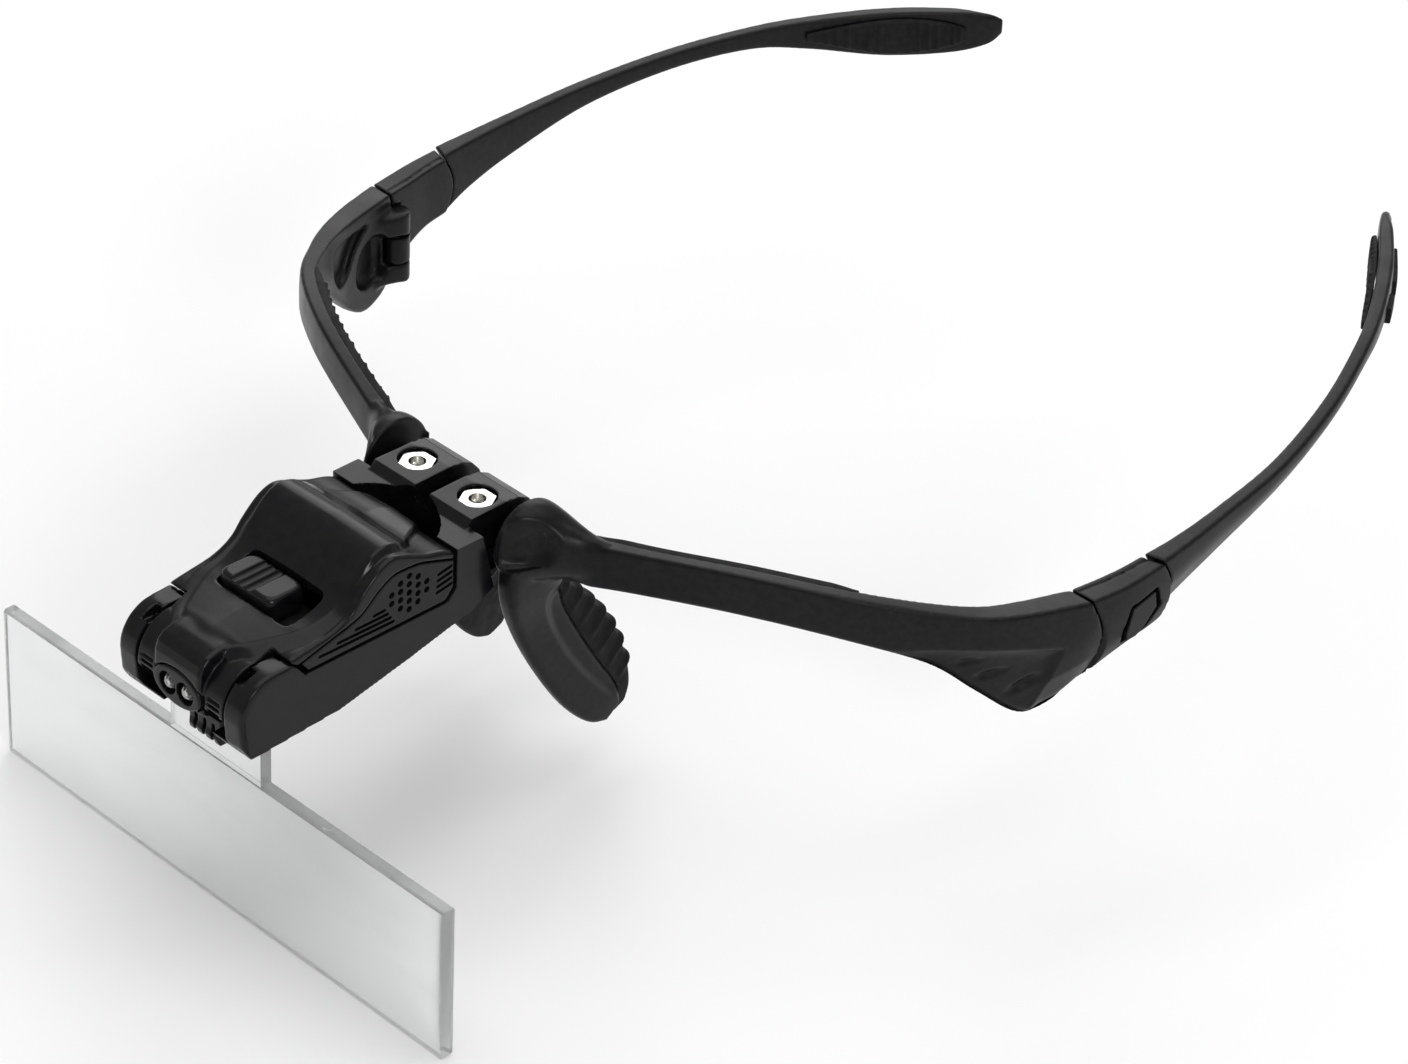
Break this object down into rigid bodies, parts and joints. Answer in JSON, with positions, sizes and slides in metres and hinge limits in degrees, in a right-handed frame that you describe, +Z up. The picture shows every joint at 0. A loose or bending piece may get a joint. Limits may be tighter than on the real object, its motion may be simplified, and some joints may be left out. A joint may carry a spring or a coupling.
{
  "type": "head visor magnifier",
  "caption": "Spectacle-style head magnifier: ribbed brow frame with folding temples, a tilting carrier with a twin-light lamp, and a rectangular clip-in lens plate.",
  "frame": {"origin": "middle of the object's length and width, at the height of the lens plate's lower edge", "axes": "+Z up, +Y from the lens back towards the temple tips, +X towards the wearer's left"},
  "size_m": [0.176, 0.24, 0.0646],
  "materials": {
    "black_plastic": "satin moulded black",
    "gloss_black": "semi-gloss moulded black",
    "black_rubber": "matt",
    "clear_acrylic": "clear polished",
    "bright_nickel": "bright nickel plate",
    "cell_steel": "nickel-plated steel can",
    "board_green": "green laminate"
  },
  "bodies": {
    "frame": {"front_frame": "black_plastic", "brow_pad_left": "black_rubber", "brow_pad_right": "black_rubber", "nose_pad_left": "black_rubber", "nose_pad_right": "black_rubber", "hinge_pin_left": "bright_nickel", "hinge_pin_right": "bright_nickel"},
    "link_left": {"hinge_link_left": "black_plastic", "latch_spring_left": "bright_nickel"},
    "link_right": {"hinge_link_right": "black_plastic", "latch_spring_right": "bright_nickel"},
    "button_left": {"latch_button_left": "black_plastic"},
    "button_right": {"latch_button_right": "black_plastic"},
    "arm_left": {"temple_left": "black_plastic", "temple_pad_left": "black_rubber"},
    "arm_right": {"temple_right": "black_plastic", "temple_pad_right": "black_rubber"},
    "carrier": {"lamp_carrier": "gloss_black", "clamp_shoe_left": "gloss_black", "clamp_shoe_right": "gloss_black", "clamp_screw_left": "bright_nickel", "clamp_screw_right": "bright_nickel", "clamp_nut_left": "bright_nickel", "clamp_nut_right": "bright_nickel", "lens_clip": "gloss_black"},
    "lens": {"lens": "clear_acrylic"},
    "lamp": {"lamp_base": "gloss_black", "lamp_cover": "gloss_black", "battery_cover": "gloss_black", "battery_cover_screw": "bright_nickel", "case_screw_left": "bright_nickel", "case_screw_right": "bright_nickel", "led_bezel": "gloss_black", "led_left": "clear_acrylic", "led_right": "clear_acrylic", "lamp_board": "board_green", "button_cell_1": "cell_steel", "button_cell_2": "cell_steel", "button_cell_3": "cell_steel", "battery_contact_left": "bright_nickel", "battery_contact_right": "bright_nickel"},
    "switch": {"switch_knob": "black_plastic", "switch_slider": "black_plastic"}
  },
  "joints": [
    {"name": "visor_tilt", "type": "hinge", "parent": "frame", "child": "carrier", "pos_m": [0, -0.0586, 0.0533], "axis": [-1, 0, 0], "range_deg": [0, 75]},
    {"name": "lamp_tilt", "type": "hinge", "parent": "carrier", "child": "lamp", "pos_m": [0, -0.1126, 0.0459], "axis": [1, 0, 0], "range_deg": [0, 45]},
    {"name": "lens_slide", "type": "slide", "parent": "carrier", "child": "lens", "axis": [0, 0, -1], "range_m": [0, 0.012]},
    {"name": "switch_slide", "type": "slide", "parent": "lamp", "child": "switch", "axis": [1, 0, 0], "range_m": [0, 0.004]},
    {"name": "temple_fold_left", "type": "hinge", "parent": "frame", "child": "link_left", "pos_m": [0.0804, -0.0023, 0.0434], "axis": [0, 0, 1], "range_deg": [0, 90]},
    {"name": "temple_fold_right", "type": "hinge", "parent": "frame", "child": "link_right", "pos_m": [-0.0804, -0.0023, 0.0434], "axis": [0, 0, 1], "range_deg": [-90, 0]},
    {"name": "release_button_left", "type": "slide", "parent": "link_left", "child": "button_left", "axis": [-1, 0, 0], "range_m": [0, 0.0012], "stiffness_N_per_m": 200},
    {"name": "release_button_right", "type": "slide", "parent": "link_right", "child": "button_right", "axis": [1, 0, 0], "range_m": [0, 0.0012], "stiffness_N_per_m": 200},
    {"name": "temple_pull_left", "type": "slide", "parent": "link_left", "child": "arm_left", "axis": [0, 1, 0], "range_m": [0, 0.008]},
    {"name": "temple_pull_right", "type": "slide", "parent": "link_right", "child": "arm_right", "axis": [0, 1, 0], "range_m": [0, 0.008]}
  ]
}
